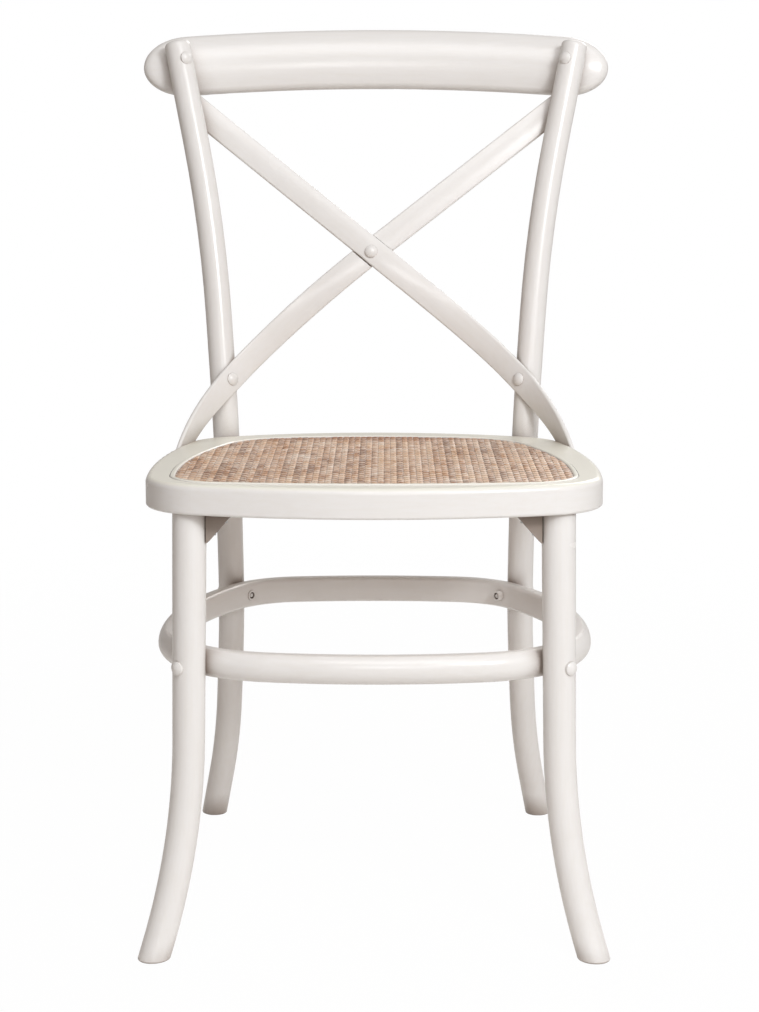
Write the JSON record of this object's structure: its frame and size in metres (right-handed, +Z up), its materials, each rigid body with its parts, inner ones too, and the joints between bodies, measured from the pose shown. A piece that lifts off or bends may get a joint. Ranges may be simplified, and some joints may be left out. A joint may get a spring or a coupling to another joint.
{
  "type": "cross back dining chair",
  "caption": "Dining chair of bent round wood with a flat crossed back, a bent crest rail, a woven cane seat and a hoop stretcher, painted off-white.",
  "frame": {"origin": "on the floor, at the middle of the chair's width and depth", "axes": "+X to the right of someone who looks at the chair's front, +Y to the back of the chair, +Z up"},
  "size_m": [0.5152, 0.5302, 0.9009],
  "materials": {
    "painted_wood": "satin off-white lacquer over wood",
    "raw_wood": "bare beech",
    "cane": "woven rattan cane in two browns",
    "painted_cap": "satin off-white paint",
    "painted_sleeve": "satin off-white paint",
    "steel": "zinc-plated steel"
  },
  "bodies": {
    "root": {"seat_bow": "painted_wood", "seat_back_rail": "painted_wood", "seat_dowels": "raw_wood", "cane_panel": "cane", "cane_spline": "painted_wood", "front_leg_left": "painted_wood", "front_leg_right": "painted_wood", "rear_post_left": "painted_wood", "rear_post_right": "painted_wood", "hoop_stretcher": "painted_wood", "crest_rail": "painted_wood", "cross_strap_front": "painted_wood", "cross_strap_rear": "painted_wood", "gusset_left": "painted_wood", "gusset_right": "painted_wood", "gusset_screws": "steel", "crest_rail_screws": "steel", "crest_rail_caps": "painted_cap", "strap_top_screws": "steel", "strap_top_caps": "painted_cap", "strap_post_screws": "steel", "strap_post_caps": "painted_cap", "strap_foot_screws": "steel", "strap_foot_caps": "painted_cap", "strap_centre_screw": "steel", "strap_centre_cap": "painted_cap", "seat_bolts": "steel", "seat_bolt_caps": "painted_cap", "seat_bolt_nuts": "steel", "front_hoop_screws": "steel", "front_hoop_caps": "painted_cap", "rear_hoop_bolts": "steel", "rear_hoop_caps": "painted_cap", "rear_hoop_sleeves": "painted_sleeve"}
  },
  "joints": []
}
